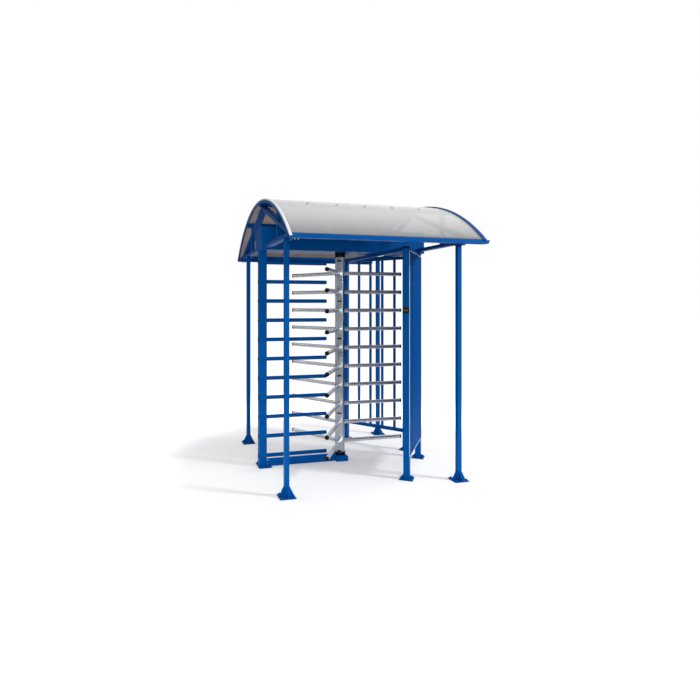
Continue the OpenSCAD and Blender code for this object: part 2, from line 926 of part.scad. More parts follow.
comb_post();
comb_bars();
comb_bar_plugs();
floor_beam();
bearing_block();
lower_bearing();
upper_bearing();
housing_tray();
housing_lid();
guide_front_post();
guide_side_front_post();
guide_side_rear_post();
guide_rear_post();
guide_post_caps();
guide_top_frame();
guide_closing_rail();
guide_side_grille();
guide_rear_grille();
guide_front_panel();
indicator();
front_left_post();
front_right_post();
rear_left_post();
rear_right_post();
left_ties();
right_ties();
front_beam();
rear_beam();
left_arch();
right_arch();
left_gable_truss();
right_gable_truss();
purlins();
roof_sheet();
arch_gasket();
arch_trims();
rotor_column();
wing_a_arms();
wing_b_arms();
wing_c_arms();
arm_caps();
column_plugs();
rotor_journals();
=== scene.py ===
"""Looks of a full-height turnstile under an arched canopy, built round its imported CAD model.

The CAD pieces keep their shapes and get their finishes here. The bolts, screws, rivets, welds,
edgings and the indicator's face are added to them. Shop sizes are in mm in the CAD frame, and
at() and the other shop tools turn them into metres.
"""
import json
import math
from collections import namedtuple

import bmesh
import bpy
from mathutils import Matrix, Vector


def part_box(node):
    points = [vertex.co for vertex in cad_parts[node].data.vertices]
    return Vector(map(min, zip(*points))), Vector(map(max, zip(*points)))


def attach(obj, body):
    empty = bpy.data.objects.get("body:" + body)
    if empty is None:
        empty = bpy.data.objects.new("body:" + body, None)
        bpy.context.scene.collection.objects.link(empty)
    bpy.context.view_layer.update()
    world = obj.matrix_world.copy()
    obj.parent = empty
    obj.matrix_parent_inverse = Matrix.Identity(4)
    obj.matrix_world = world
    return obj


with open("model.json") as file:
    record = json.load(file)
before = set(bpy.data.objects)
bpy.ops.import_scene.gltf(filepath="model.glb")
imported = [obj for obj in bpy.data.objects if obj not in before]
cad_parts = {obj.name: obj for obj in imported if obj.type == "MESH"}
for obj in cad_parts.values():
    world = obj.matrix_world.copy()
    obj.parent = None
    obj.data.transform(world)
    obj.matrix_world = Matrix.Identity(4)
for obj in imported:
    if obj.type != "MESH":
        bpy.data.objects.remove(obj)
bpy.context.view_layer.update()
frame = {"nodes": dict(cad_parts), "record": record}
collection = bpy.context.scene.collection


# ---------------------------------------------------------------- shader nodes

MIX_FIRST, MIX_SECOND, MIX_RESULT = 6, 7, 2  # the colour sockets of a Mix node
NOISE_SPAN = (0.3, 0.7)  # most values of a noise lie in here
WHITE = (1.0, 1.0, 1.0)


class Nodes:
    """Node tree of a material or a world. Most methods add a node and give back its result."""

    def __init__(self, owner):
        owner.use_nodes = True
        self.tree = owner.node_tree

    def node(self, kind, **settings):
        made = self.tree.nodes.new(kind)
        for key, value in settings.items():
            setattr(made, key, value)
        return made

    def feed(self, target, source):
        """Joins a socket to an input, or sets the input to a number, a vector or a colour."""
        if isinstance(source, bpy.types.NodeSocket):
            self.tree.links.new(source, target)
        else:
            target.default_value = (*source, 1.0) if target.type == "RGBA" else source

    def ramp(self, value, span, to=(0.0, 1.0), kind="LINEAR"):
        """Maps one span of values onto another, and keeps the result inside it."""
        made = self.node("ShaderNodeMapRange", interpolation_type=kind)
        self.feed(made.inputs["Value"], value)
        for name, number in zip(("From Min", "From Max", "To Min", "To Max"), (*span, *to)):
            self.feed(made.inputs[name], number)
        return made.outputs["Result"]

    def eased(self, value, span, to=(0.0, 1.0)):
        """Ramp that starts and ends softly."""
        return self.ramp(value, span, to, "SMOOTHSTEP")

    def blend(self, factor, first, second):
        """Colour between two colours."""
        made = self.node("ShaderNodeMix", data_type="RGBA")
        self.feed(made.inputs["Factor"], factor)
        self.feed(made.inputs[MIX_FIRST], first)
        self.feed(made.inputs[MIX_SECOND], second)
        return made.outputs[MIX_RESULT]

    def maths(self, operation, first, second):
        made = self.node("ShaderNodeMath", operation=operation)
        self.feed(made.inputs[0], first)
        self.feed(made.inputs[1], second)
        return made.outputs[0]

    def unit(self, vector):
        """The vector at a length of one."""
        made = self.node("ShaderNodeVectorMath", operation="NORMALIZE")
        self.feed(made.inputs[0], vector)
        return made.outputs["Vector"]

    def length(self, vector):
        made = self.node("ShaderNodeVectorMath", operation="LENGTH")
        self.feed(made.inputs[0], vector)
        return made.outputs["Value"]

    def towards(self, vector, direction):
        """How far a vector points in a fixed direction."""
        made = self.node("ShaderNodeVectorMath", operation="DOT_PRODUCT")
        self.feed(made.inputs[0], vector)
        self.feed(made.inputs[1], direction)
        return made.outputs["Value"]

    def along(self, vector, axis):
        """One coordinate of a vector."""
        made = self.node("ShaderNodeSeparateXYZ")
        self.feed(made.inputs["Vector"], vector)
        return made.outputs[axis]


class Finish(Nodes):
    """A surface that is built up node by node on Object coordinates.

    Values given by name are set on the shader's own sockets.
    """

    def __init__(self, name, **values):
        self.material = bpy.data.materials.new(name)
        super().__init__(self.material)
        self.shader = self.tree.nodes["Principled BSDF"]
        self.place = self.node("ShaderNodeTexCoord").outputs["Object"]
        for key, value in values.items():
            self.feed(self.shader.inputs[key.replace("_", " ")], value)

    def noise(self, scale, detail=4.0, rough=0.5, place=None):
        made = self.node("ShaderNodeTexNoise")
        self.feed(made.inputs["Vector"], place or self.place)
        self.feed(made.inputs["Scale"], scale)
        self.feed(made.inputs["Detail"], detail)
        self.feed(made.inputs["Roughness"], rough)
        return made.outputs["Fac"]

    def grain(self, scales, detail, rough):
        """Noise with its own scale along each axis, for grain that runs one way."""
        mapping = self.node("ShaderNodeMapping")
        self.feed(mapping.inputs["Vector"], self.place)
        self.feed(mapping.inputs["Scale"], scales)
        return self.noise(1.0, detail, rough, mapping.outputs["Vector"])

    def colour(self, source):
        self.feed(self.shader.inputs["Base Color"], source)

    def roughness(self, noise, span, low, high):
        """Shine that changes with a noise."""
        self.feed(self.shader.inputs["Roughness"], self.ramp(noise, span, (low, high)))

    def relief(self, height, depth, strength):
        """Bump of the given depth in metres."""
        bump = self.node("ShaderNodeBump")
        self.feed(bump.inputs["Height"], height)
        self.feed(bump.inputs["Distance"], depth)
        self.feed(bump.inputs["Strength"], strength)
        self.feed(self.shader.inputs["Normal"], bump.outputs["Normal"])


# ---------------------------------------------------------------- finishes

def shade(colour, factor):
    return tuple(part * factor for part in colour)


def powder_coat(name, colour, deep, tint, gloss, shine=0.15):
    """Powder paint: slight cloudiness, an orange-peel skin and faint handling marks in the gloss."""
    finish = Finish(name, Specular_IOR_Level=shine, Specular_Tint=tint)
    cloud = finish.ramp(finish.noise(scale=2.3, detail=3.0), (0.35, 0.65))
    finish.colour(finish.blend(cloud, deep, colour))
    handling = finish.noise(scale=38.0, detail=6.0, rough=0.65)
    finish.roughness(handling, (0.3, 0.75), gloss - 0.05, gloss + 0.09)
    orange_peel = finish.noise(scale=420.0, detail=2.0, rough=0.4)
    finish.relief(orange_peel, depth=0.00012, strength=0.5)
    return finish.material


def drawn_steel(name, colour, rough, grain, metal=1.0):
    """Ground stainless tube: fine streaks along one axis and a soft cloud in the shine."""
    finish = Finish(name, Metallic=metal)
    streaks = finish.grain(grain, detail=5.0, rough=0.6)
    finish.colour(finish.blend(finish.ramp(streaks, NOISE_SPAN), shade(colour, 0.86), colour))
    cloud = finish.noise(scale=6.0, detail=3.0)
    finish.roughness(cloud, NOISE_SPAN, rough - 0.06, rough + 0.08)
    finish.relief(streaks, depth=0.00005, strength=0.15)
    return finish.material


def edge_aluminium(name):
    """Aluminium strips: near white round the arch as a painted highlight, darkened on the roof's low
    edges as painted shade.
    """
    finish = Finish(name, Metallic=0.55)
    arch_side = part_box("left_arch")[1][0]  # X of the arch's inner side, in metres
    # painted highlight on the strip over the arch, painted shade on the strips along the roof's low
    # edges
    shaded_low_strips = finish.ramp(finish.along(finish.place, "X"), (arch_side - 0.001, arch_side + 0.003))
    streaks = finish.ramp(finish.grain((900.0, 30.0, 30.0), detail=4.0, rough=0.6), NOISE_SPAN)
    arch_highlight = finish.blend(streaks, (0.86, 0.90, 0.94), (0.93, 0.96, 0.98))
    low_edge_shade = finish.blend(streaks, (0.26, 0.28, 0.30), (0.32, 0.34, 0.36))
    finish.colour(finish.blend(shaded_low_strips, arch_highlight, low_edge_shade))
    finish.roughness(finish.noise(scale=40.0, rough=0.6), NOISE_SPAN, 0.3, 0.44)
    return finish.material


def pale_highlight_edge(name):
    """Pale edge strips with a dusty bloom; their pale colour is a painted highlight along the panel's
    edges.
    """
    finish = Finish(name, Metallic=0.25)
    bloom = finish.ramp(finish.noise(scale=60.0, detail=5.0, rough=0.6), NOISE_SPAN)
    # painted highlight: pale colour that stands in for the light caught on the panel's edges
    finish.colour(finish.blend(bloom, (0.68, 0.74, 0.80), (0.80, 0.84, 0.88)))
    finish.roughness(finish.noise(scale=200.0), NOISE_SPAN, 0.35, 0.5)
    return finish.material


def zinc_plate(name):
    """Zinc-plated fasteners with a pale spangle."""
    finish = Finish(name, Metallic=1.0)
    spangle = finish.node("ShaderNodeTexVoronoi")
    finish.feed(spangle.inputs["Vector"], finish.place)
    finish.feed(spangle.inputs["Scale"], 900.0)
    finish.colour(finish.blend(spangle.outputs["Distance"], (0.66, 0.67, 0.66), (0.50, 0.52, 0.52)))
    finish.roughness(finish.noise(scale=300.0), NOISE_SPAN, 0.28, 0.46)
    return finish.material


def moulded_plastic(name, colour, rough):
    """Moulded black plastic or rubber with a fine spark-eroded grain and a little dust."""
    finish = Finish(name, Specular_IOR_Level=0.2)
    dust = finish.ramp(finish.noise(scale=30.0, detail=5.0, rough=0.7), (0.55, 0.85))
    finish.colour(finish.blend(dust, colour, tuple(part + 0.02 for part in colour)))
    grain = finish.noise(scale=2600.0, detail=2.0)
    finish.roughness(grain, NOISE_SPAN, rough - 0.06, rough + 0.08)
    finish.relief(grain, depth=0.00006, strength=0.6)
    return finish.material


def tinted_sheet(name):
    """Bronze-tinted clear sheet with a faint pull in its skin along the bend. Its outside is painted
    pale grey as a painted reflection of the sky, with painted light that makes it lighter towards the
    crown.
    """
    painted_shade_to, painted_light_from = 2.15, 2.41  # heights between which the painted light on the outside brightens, in metres
    finish = Finish(name, IOR=1.5, Alpha=0.72)
    facing_up = finish.along(finish.node("ShaderNodeNewGeometry").outputs["Normal"], "Z")
    # faces that face up get the painted reflection of the sky, the others show the bronze tint
    outside = finish.ramp(facing_up, (-0.05, 0.05))
    pull = finish.grain((9.0, 1.2, 1.2), detail=3.0, rough=0.5)
    # painted shade low down and painted light up the arch, as light falls from above
    painted_light_up_the_arch = finish.ramp(finish.along(finish.place, "Z"), (painted_shade_to, painted_light_from))
    painted_sky_reflection = finish.blend(painted_light_up_the_arch, (0.30, 0.305, 0.31), (0.82, 0.825, 0.84))
    streaked = finish.ramp(pull, NOISE_SPAN, (0.0, 0.12))
    painted_sky_reflection = finish.blend(streaked, painted_sky_reflection, (0.62, 0.62, 0.62))
    bronze = finish.blend(finish.ramp(pull, NOISE_SPAN), (0.30, 0.20, 0.135), (0.36, 0.25, 0.17))
    finish.colour(finish.blend(outside, bronze, painted_sky_reflection))
    finish.roughness(finish.noise(scale=14.0, detail=5.0, rough=0.6), NOISE_SPAN, 0.12, 0.22)
    finish.relief(pull, depth=0.0003, strength=0.08)
    return finish.material


def tinted_lens(name, colour):
    """Moulded lamp lens with fine upright flutes and a glossy skin."""
    finish = Finish(name, Coat_Weight=0.6, IOR=1.49)
    flutes = finish.grain((900.0, 900.0, 40.0), detail=1.0, rough=0.3)
    finish.colour(finish.blend(finish.ramp(flutes, NOISE_SPAN), shade(colour, 0.7), colour))
    finish.roughness(finish.noise(scale=120.0), NOISE_SPAN, 0.12, 0.22)
    finish.relief(flutes, depth=0.0003, strength=0.4)
    return finish.material


BLUE_TINT = (0.03, 0.3, 0.8)
UPRIGHT_GRAIN = (900.0, 900.0, 14.0)
LEVEL_GRAIN = (300.0, 300.0, 900.0)
LATHE_GRAIN = (60.0, 60.0, 1500.0)
EVEN_GRAIN = (300.0, 300.0, 300.0)

blue = powder_coat("blue powder coat", (0.0012, 0.086, 0.345), (0.001, 0.078, 0.315),
                   BLUE_TINT, gloss=0.38)
# painted shade: the panel's blue is darker than the other blue, so that its face turned to the key
# lamp reads no lighter
shaded_panel_blue = powder_coat("matt blue powder coat with painted shade", (0.001, 0.066, 0.262), (0.0008, 0.060, 0.24),
                         BLUE_TINT, gloss=0.6, shine=0.02)
black_paint = powder_coat("black powder coat", (0.004, 0.004, 0.005), (0.003, 0.003, 0.004),
                          (0.6, 0.6, 0.7), gloss=0.34)
tube_steel = drawn_steel("ground tube steel", (0.74, 0.76, 0.79), 0.28, LEVEL_GRAIN, metal=0.78)
column_steel = drawn_steel("ground column steel", (0.50, 0.545, 0.60), 0.30, UPRIGHT_GRAIN)
turned_steel = drawn_steel("turned steel", (0.60, 0.60, 0.61), 0.22, LATHE_GRAIN)
weld_steel = drawn_steel("brushed weld steel", (0.25, 0.26, 0.28), 0.60, EVEN_GRAIN)
zinc = zinc_plate("zinc plate")
cap_plastic = moulded_plastic("black cap plastic", (0.003, 0.003, 0.003), 0.36)
rubber = moulded_plastic("black seal rubber", (0.018, 0.018, 0.018), 0.62)
# painted highlight on the arch strip, painted shade on the low edge strips
aluminium = edge_aluminium("mill aluminium")
# painted highlight for the panel's edges
highlight_edging = pale_highlight_edge("pale edge painted highlight")
sheet = tinted_sheet("bronze tinted sheet")
lamp_lens = tinted_lens("amber lamp lens", (0.17, 0.14, 0.02))

slot_finish = {
    "blue_paint": blue,
    "black_paint": black_paint,
    "satin_steel": tube_steel,
    "bare_steel": turned_steel,
    "black_plastic": cap_plastic,
    "black_rubber": rubber,
    "roof_sheet": sheet,
    "aluminium_trim": aluminium,
}
node_finish = {"rotor_column": column_steel, "guide_front_panel": shaded_panel_blue}
for part in frame["record"]["subparts"]:
    mesh = frame["nodes"][part["node"]].data
    mesh.materials.clear()
    mesh.materials.append(node_finish.get(part["node"]) or slot_finish[part["material_slot"]])


# ---------------------------------------------------------------- shop tools

MM = 0.001
MERGE = 1e-6  # distance in metres under which points are one
SHARP = math.radians(35.0)
LEFT, RIGHT = (-1, 0, 0), (1, 0, 0)
FRONT, BACK = (0, -1, 0), (0, 1, 0)
DOWN = (0, 0, -1)


def finished(name, bm, material, body):
    """Turns a bmesh into a named piece that rides on a body."""
    bmesh.ops.recalc_face_normals(bm, faces=bm.faces)
    mesh = bpy.data.meshes.new(name)
    bm.to_mesh(mesh)
    bm.free()
    for face in mesh.polygons:
        face.use_smooth = True
    mesh.set_sharp_from_angle(angle=SHARP)
    mesh.materials.append(material)
    piece = bpy.data.objects.new(name, mesh)
    collection.objects.link(piece)
    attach(piece, body)


def put(bm, shape, place):
    """Moves a small shape into place and joins it to the piece."""
    bmesh.ops.transform(shape, matrix=place, verts=shape.verts)
    mesh = bpy.data.meshes.new("shape")
    shape.to_mesh(mesh)
    shape.free()
    bm.from_mesh(mesh)
    bpy.data.meshes.remove(mesh)


def turned(bm, profile, place, steps=16):
    """Spins a profile of (radius, height) points in mm round the local Z axis."""
    shape = bmesh.new()
    points = [shape.verts.new((radius * MM, 0.0, height * MM)) for radius, height in profile]
    edges = [shape.edges.new(pair) for pair in zip(points, points[1:])]
    bmesh.ops.spin(shape, geom=points + edges, cent=(0, 0, 0), axis=(0, 0, 1),
                   angle=math.tau, steps=steps, use_merge=True, use_duplicate=False)
    bmesh.ops.remove_doubles(shape, verts=shape.verts, dist=MERGE)
    put(bm, shape, place)


def hexagon(bm, across, z0, z1, place):
    """Chamfered nut or bolt head between two heights in mm."""
    radius = across / math.sqrt(3) * MM
    shape = bmesh.new()
    bmesh.ops.create_cone(shape, cap_ends=True, segments=6, radius1=radius, radius2=radius,
                          depth=(z1 - z0) * MM)
    top = [edge for edge in shape.edges if all(vert.co.z > 0 for vert in edge.verts)]
    bmesh.ops.bevel(shape, geom=top, offset=0.07 * across * MM, segments=1, profile=0.5,
                    affect="EDGES", material=-1)
    put(bm, shape, place @ at(0, 0, (z0 + z1) / 2))


def rounded_block(bm, size, place, soft):
    """Block of the given size in mm with rounded edges, its middle at the local origin."""
    shape = bmesh.new()
    bmesh.ops.create_cube(shape, size=1.0, matrix=Matrix.Diagonal((*(n * MM for n in size), 1.0)))
    bmesh.ops.bevel(shape, geom=shape.edges[:], offset=soft * MM, segments=3, profile=0.5,
                    affect="EDGES", material=-1)
    put(bm, shape, place)


def weld_skirt(bm, half, place):
    """Fillet weld round a square post of the given half width in mm, sunk a little in its plate."""
    base, rim, height, sunk = half + 5.0, half + 0.4, 5.0, 0.1
    shape = bmesh.new()
    bmesh.ops.create_cone(shape, cap_ends=True, segments=4, radius1=base * math.sqrt(2) * MM,
                          radius2=rim * math.sqrt(2) * MM, depth=height * MM)
    bmesh.ops.bevel(shape, geom=shape.edges[:], offset=1.2 * MM, segments=2, profile=0.5,
                    affect="EDGES", material=-1)
    put(bm, shape, place @ at(0, 0, height / 2 - sunk, math.pi / 4))


def washer(inner, outer, z0, z1, chamfer=0.3):
    return [(inner, z0), (outer, z0), (outer, z1 - chamfer), (outer - chamfer, z1), (inner, z1),
            (inner, z0)]


def disc(radius, thick, chamfer=0.3):
    return [(radius, 0.0), (radius, thick - chamfer), (radius - chamfer, thick), (0.0, thick)]


def stud(radius, z0, z1, pitch=1.8, depth=0.5, tip=1.5):
    """Threaded end, drawn as shallow rings, with a chamfered tip."""
    rings = [(0.0, z0), (radius, z0)]
    groove = z0 + 1.0
    while groove < z1 - tip - 1.0:
        rings += [(radius - depth, groove), (radius, groove + pitch / 2)]
        groove += pitch
    return rings + [(radius, z1 - tip), (radius - tip, z1), (0.0, z1)]


def dome(radius, height):
    """Round head that reaches a little into what carries it."""
    return [(0.0, -0.4), (radius, -0.4), (radius, 0.3 * height), (0.87 * radius, 0.68 * height),
            (0.55 * radius, 0.92 * height), (0.0, height)]


def bead(radius, thick):
    """Weld bead round a tube, six-sided in section."""
    sides = 6
    angles = [k * math.tau / sides for k in range(sides + 1)]
    return [(radius + thick * math.cos(angle), thick * math.sin(angle)) for angle in angles]


def at(x, y, z, turn=0.0, facing=None):
    """Place in mm, turned about Z, with its own Z axis pointing where it faces."""
    place = Matrix.Translation((x * MM, y * MM, z * MM)) @ Matrix.Rotation(turn, 4, "Z")
    if facing is None:
        return place
    return place @ Vector(facing).to_track_quat("Z", "Y").to_matrix().to_4x4()


def radial(turn, z, radius, side=0.0):
    """Place beside the rotor's axis that faces away from it."""
    return at(0, 0, z, turn) @ at(radius, side, 0, facing=RIGHT)


def bolted(bm, place, across, top, hole, rim, thick, turn=0.0, thread=None):
    """Nut or bolt head on its washer, with the threaded end that stands past a nut."""
    turned(bm, washer(hole, rim, 0.0, thick), place)
    hexagon(bm, across, thick, top, place @ Matrix.Rotation(turn, 4, "Z"))
    if thread:
        turned(bm, stud(*thread), place, 12)


def box_mm(node):
    low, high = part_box(node)
    return [n / MM for n in low], [n / MM for n in high]


def middle(node):
    low, high = box_mm(node)
    return (low[0] + high[0]) / 2, (low[1] + high[1]) / 2


# ---------------------------------------------------------------- sizes in mm

# Fasteners: width across flats, height of the top, the washer's hole, rim and thickness,
# and the threaded end's radius, lower end and tip
ANCHOR_NUT = dict(across=16.0, top=9.8, hole=5.4, rim=10.5, thick=1.8, thread=(4.9, 9.4, 17.0))
BLOCK_BOLT = dict(across=13.0, top=6.8, hole=4.4, rim=8.6, thick=1.4)
TIE_HEAD = dict(across=15.0, top=7.6, hole=5.4, rim=9.8, thick=1.6)
TIE_NUT = dict(across=15.0, top=8.6, hole=5.4, rim=9.8, thick=1.6, thread=(4.5, 8.0, 14.0))
EAVE_NUT = dict(across=13.0, top=8.2, hole=4.4, rim=8.6, thick=1.6, thread=(3.9, 7.8, 14.0))

# Sizes of the CAD model that its boxes don't give
FOOT_TOP = 8.0  # top of every foot plate
HEAD_PLATE = 10.0  # thickness of the plate on a canopy post
CANOPY_POST_HALF = 20.0  # half the width of a post
CAGE_POST_HALF = 28.0
TUBE_RADIUS = 19.0  # arms and comb bars
ARM_ROWS = [195.0 + 190.0 * k for k in range(10)]
BAR_ROWS = [100.0 + 190.0 * k for k in range(11)]
COLUMN_FACE = 38.1  # from the rotor's axis to a wide face of the column
PLUG_SIDE = 11.0  # from the middle of a wide face to its plugs
PANEL_FACE = 30.3  # from the front cage posts' middle line to the outside of the front panel
INDICATOR_FACE = CAGE_POST_HALF + 14.0  # from the front corner post's middle to the box's face
PURLIN_Y = 650.0  # from the crown to the purlins on the slopes
ROOF_AXIS_Z = 710.2  # height of the axis that the roof sheet bends round
WINGS = (0.0, math.tau / 3, 2 * math.tau / 3)

CANOPY_POSTS = ("front_left_post", "front_right_post", "rear_left_post", "rear_right_post")


def heading(start, end):
    """Turn about Z of the line from one post to another."""
    run = Vector(middle(end)) - Vector(middle(start))
    return math.atan2(run.y, run.x)


front_turn = heading("guide_front_post", "guide_side_front_post")
rear_turn = heading("guide_rear_post", "guide_side_rear_post")
panel_length = math.dist(middle("guide_front_post"), middle("guide_side_front_post"))
panel_wall = at(*middle("guide_front_post"), 0, front_turn)  # X along the panel, -Y out of it
comb_outer = box_mm("comb_bars")[0][0]  # the bars end at the comb post's outer face
comb_inner = box_mm("floor_beam")[0][0]  # the beam starts at its inner face


# ---------------------------------------------------------------- feet

# Middle of a post, half its width, middle of its foot plate, how both are turned, and the
# distance in X and Y from the plate's middle to the anchor holes
Foot = namedtuple("Foot", "post half plate turn anchors")


def canopy_foot(post):
    return Foot(middle(post), CANOPY_POST_HALF, middle(post), 0.0, (50.0, 50.0))


def cage_foot(post, turn):
    return Foot(middle(post), CAGE_POST_HALF, middle(post), turn, (42.0, 42.0))


def comb_foot():
    post = ((comb_outer + comb_inner) / 2, 0.0)
    return Foot(post, (comb_inner - comb_outer) / 2, middle("comb_post"), 0.0, (46.0, 78.0))


feet = [canopy_foot(post) for post in CANOPY_POSTS]
feet += [cage_foot("guide_front_post", front_turn), cage_foot("guide_side_front_post", front_turn)]
feet += [cage_foot("guide_side_rear_post", rear_turn), cage_foot("guide_rear_post", rear_turn)]
feet += [comb_foot()]


def anchor_bolts():
    """Washer, nut and threaded end on every anchor hole of the foot plates."""
    bm = bmesh.new()
    places = [at(*foot.plate, FOOT_TOP, foot.turn) @ at(i * foot.anchors[0], j * foot.anchors[1], 0)
              for foot in feet for i in (-1, 1) for j in (-1, 1)]
    for number, place in enumerate(places):
        bolted(bm, place @ Matrix.Rotation(number * 0.7, 4, "Z"), **ANCHOR_NUT)
    finished("anchor_bolts", bm, blue, "frame")


def foot_welds():
    """Fillet welds where the posts meet their foot plates."""
    bm = bmesh.new()
    for foot in feet:
        weld_skirt(bm, foot.half, at(*foot.post, FOOT_TOP, foot.turn))
    finished("foot_welds", bm, blue, "frame")


# ---------------------------------------------------------------- rotor and comb

def arm_welds():
    """Weld beads where the arms leave the column."""
    bm = bmesh.new()
    for wing in WINGS:
        for z in ARM_ROWS:
            turned(bm, bead(TUBE_RADIUS + 0.2, 1.7), radial(wing, z, COLUMN_FACE + 0.8), 14)
    finished("arm_welds", bm, weld_steel, "rotor")


def bar_welds():
    """Weld beads where the comb's bars leave its post."""
    bm = bmesh.new()
    for z in BAR_ROWS:
        turned(bm, bead(TUBE_RADIUS + 0.4, 2.6), at(comb_inner + 0.8, 0, z, facing=RIGHT))
    finished("bar_welds", bm, blue, "frame")


def plug_rims():
    """Flanges of the column's plugs, near its ends and level with every second bar between."""
    low, high = box_mm("rotor_column")
    rows = (low[2] + 9.0, *BAR_ROWS[2:9:2], high[2] - 38.0)
    bm = bmesh.new()
    for face in WINGS:
        for z in rows:
            for side in (-PLUG_SIDE, PLUG_SIDE):
                turned(bm, washer(7.0, 10.6, -0.3, 1.4), radial(face, z, COLUMN_FACE, side), 18)
    finished("plug_rims", bm, cap_plastic, "rotor")


def block_bolts():
    """Bolts that hold the lower bearing in its block, ahead of and behind the collar."""
    bm = bmesh.new()
    top = box_mm("bearing_block")[1][2]
    for x in (-22, 22):
        for y in (-62, 62):
            bolted(bm, at(x, y, top), turn=0.4, **BLOCK_BOLT)
    finished("block_bolts", bm, blue, "frame")


def collar_screws():
    """Socket set screws round the upper bearing's collar."""
    low, high = box_mm("upper_bearing")
    radius = (high[0] - low[0]) / 2
    height, screws, first_turn = low[2] + 22.0, 6, 0.3
    screw = [(0.0, -3.0), (4.0, -3.0), (4.0, 0.2), (3.4, 0.9), (2.2, 0.9), (2.2, -1.5), (0.0, -1.5)]
    bm = bmesh.new()
    for k in range(screws):
        turned(bm, screw, radial(k * math.tau / screws + first_turn, height, radius - 0.1), 12)
    finished("collar_screws", bm, black_paint, "frame")


# ---------------------------------------------------------------- housing and cage

def housing_screws():
    """Pan-head screws along the lid's turned-down edge."""
    low, high = box_mm("housing_lid")
    z = high[2] - 12.0
    from_corner, count, collar = 60.0, 9, 0.9
    pitch = (high[0] - low[0] - 2 * from_corner) / (count - 1)
    places = []
    for k in range(count):
        x = low[0] + from_corner + k * pitch
        places += [at(x, low[1], z, facing=FRONT), at(x, high[1], z, facing=BACK)]
    for y in (low[1] + from_corner, high[1] - from_corner):
        places += [at(low[0], y, z, facing=LEFT), at(high[0], y, z, facing=RIGHT)]
    bm = bmesh.new()
    for place in places:
        turned(bm, disc(7.5, collar), place)
        turned(bm, dome(4.8, 3.0), place @ at(0, 0, collar), 14)
    finished("housing_screws", bm, blue, "frame")


def housing_locks():
    """Two cam locks on the housing's rear face, each with a bar across its sunk middle."""
    high = box_mm("housing_lid")[1]
    barrel = [(0.0, -2.0), (13.0, -2.0), (13.0, 1.4), (11.6, 2.6), (8.4, 2.6), (8.0, 1.6), (0.0, 1.6)]
    bm = bmesh.new()
    for x in (-420.0, 440.0):
        place = at(x, high[1], high[2] - 104.0, facing=BACK)
        turned(bm, barrel, place, 24)
        rounded_block(bm, (1.6, 6.4, 0.8), place @ at(0, 0, 1.7), 0.3)
    finished("housing_locks", bm, turned_steel, "frame")


def panel_rivets():
    """Blind rivets that hold the front panel to its two posts."""
    low, high = box_mm("guide_front_panel")
    from_edge, rows = 42.0, 10
    pitch = (high[2] - low[2] - 2 * from_edge) / (rows - 1)
    bm = bmesh.new()
    for x in (0.0, panel_length):
        for k in range(rows):
            place = at(x, -PANEL_FACE, low[2] + from_edge + k * pitch, facing=FRONT)
            turned(bm, dome(5.0, 2.2), panel_wall @ place, 14)
    finished("panel_rivets", bm, blue, "frame")


def panel_edging():
    """Pale strips over the panel's upper and lower cut edges, whose pale colour is a painted
    highlight.
    """
    low, high = box_mm("guide_front_panel")
    bm = bmesh.new()
    for z in (low[2] - 1.5, high[2] + 1.5):
        place = panel_wall @ at(panel_length / 2, 1.3 - PANEL_FACE, z)
        rounded_block(bm, (panel_length - 62.0, 7.0, 6.0), place, 1.6)
    finished("panel_edging", bm, highlight_edging, "frame")


def panel_corner_bead():
    """Pale bead up the panel's upright edge at the front corner post, whose pale colour is a painted
    highlight.
    """
    low, high = box_mm("guide_front_panel")
    foot, top = low[2], high[2]
    rod = [(0.0, foot), (1.6, foot), (2.2, foot + 1.0), (2.2, top - 1.0), (1.6, top), (0.0, top)]
    bm = bmesh.new()
    turned(bm, rod, panel_wall @ at(-27.2, 1.3 - PANEL_FACE, 0), 14)
    finished("panel_corner_bead", bm, highlight_edging, "frame")


def indicator_bezel():
    """Raised frame of two rails and two stiles on the face of the indicator's box."""
    low, high = box_mm("indicator")
    centre = (low[2] + high[2]) / 2
    rail, stile = (5.0, 52.0, 4.5), (5.0, 4.5, 46.0)
    bars = [(rail, 0.0, low[2] + 2.3), (rail, 0.0, high[2] - 2.3)]
    bars += [(stile, -23.8, centre), (stile, 23.8, centre)]
    bm = bmesh.new()
    for size, y, z in bars:
        rounded_block(bm, size, panel_wall @ at(-INDICATOR_FACE - 0.6, y, z), 1.2)
    finished("indicator_bezel", bm, cap_plastic, "frame")


def indicator_lamps():
    """Two lamp lenses side by side in the indicator's frame."""
    low, high = box_mm("indicator")
    centre = (low[2] + high[2]) / 2
    bm = bmesh.new()
    for y in (-9.5, 9.5):
        place = panel_wall @ at(-INDICATOR_FACE - 1.2, y, centre)
        rounded_block(bm, (5.0, 11.0, 15.0), place, 1.8)
    finished("indicator_lamps", bm, lamp_lens, "frame")


# ---------------------------------------------------------------- canopy

def roof_screws():
    """Screws with a metal cap on a rubber washer, into the purlins at the crown and on the slopes."""
    radius = box_mm("roof_sheet")[1][2] - ROOF_AXIS_Z
    outer_row = math.asin(PURLIN_Y / radius)
    seal = [(0.0, -0.3), (12.0, -0.3), (12.0, 1.0), (10.5, 1.8), (0.0, 1.8)]
    cap = [(0.0, 1.6), (10.0, 1.6), (10.0, 2.3), (6.0, 3.0)]
    caps, seals = bmesh.new(), bmesh.new()
    for angle in (0.0, outer_row, -outer_row):
        outwards = Vector((0.0, math.sin(angle), math.cos(angle)))
        for x in (-540, -270, 0, 270, 540):
            place = at(x, radius * outwards.y, ROOF_AXIS_Z + radius * outwards.z, facing=outwards)
            turned(seals, seal, place, 20)
            turned(caps, cap, place, 20)
            hexagon(caps, 8.0, 2.6, 6.6, place)
    finished("roof_screw_seals", seals, rubber, "frame")
    finished("roof_screws", caps, zinc, "frame")


